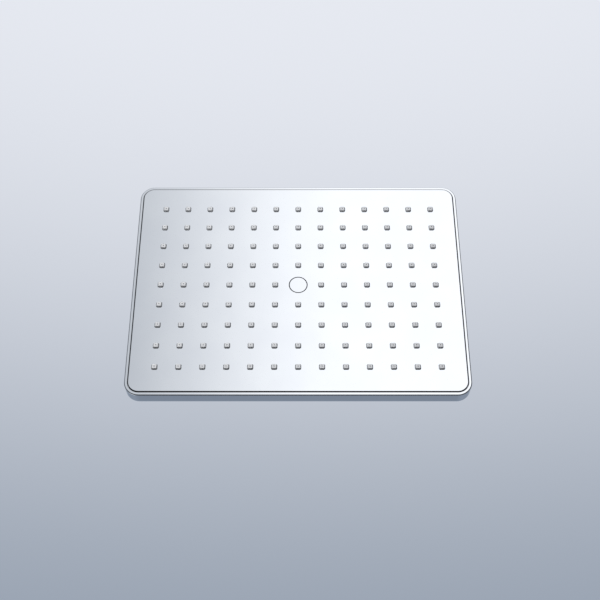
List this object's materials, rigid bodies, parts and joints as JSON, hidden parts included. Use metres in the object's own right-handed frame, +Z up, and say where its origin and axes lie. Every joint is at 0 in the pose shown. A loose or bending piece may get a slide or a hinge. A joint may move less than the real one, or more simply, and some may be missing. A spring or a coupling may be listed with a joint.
{
  "type": "rain shower head",
  "caption": "Rectangular chromed overhead rain shower head with a grid of square silicone nozzles, a bare centre cap and a tilting ball joint inlet.",
  "frame": {"origin": "centre of the inlet thread's mouth, on the top face of the ball connector's hexagon", "axes": "+Z up out of the inlet, spray face looking down along -Z; +X along the head's long side; -Y towards the long edge that is nearest in the picture"},
  "size_m": [0.26, 0.19, 0.0675],
  "materials": {
    "chromed_abs": "bright chrome plating on moulded ABS",
    "plated_brass": "bright chrome plating on turned brass",
    "grey_silicone": "smooth moulded grey silicone",
    "black_rubber": "moulded black rubber",
    "white_acetal": "moulded natural acetal",
    "white_abs": "moulded natural ABS",
    "stainless_steel": "plain stainless steel"
  },
  "bodies": {
    "connector": {"ball_connector": "plated_brass", "inlet_washer": "black_rubber", "filter_screen": "stainless_steel", "flow_restrictor": "white_acetal", "restrictor_o_ring": "black_rubber"},
    "cup": {"seal_cup": "black_rubber"},
    "ring": {"seat_ring": "white_acetal"},
    "head": {"collar_nut": "chromed_abs", "rear_shell": "chromed_abs", "perimeter_seal": "black_rubber", "spray_carrier": "white_abs", "case_screws": "stainless_steel", "nozzle_mat": "grey_silicone", "face_plate": "chromed_abs", "centre_screw": "stainless_steel", "centre_cap": "chromed_abs"}
  },
  "joints": [
    {"name": "head_turn", "type": "hinge", "parent": "connector", "child": "cup", "pos_m": [0, 0, -0.03191], "axis": [0, 0, 1], "continuous": true},
    {"name": "tilt_about_x", "type": "hinge", "parent": "cup", "child": "ring", "pos_m": [0, 0, -0.03191], "axis": [1, 0, 0], "range_deg": [-10, 10]},
    {"name": "tilt_about_y", "type": "hinge", "parent": "ring", "child": "head", "pos_m": [0, 0, -0.03191], "axis": [0, 1, 0], "range_deg": [-10, 10]}
  ]
}
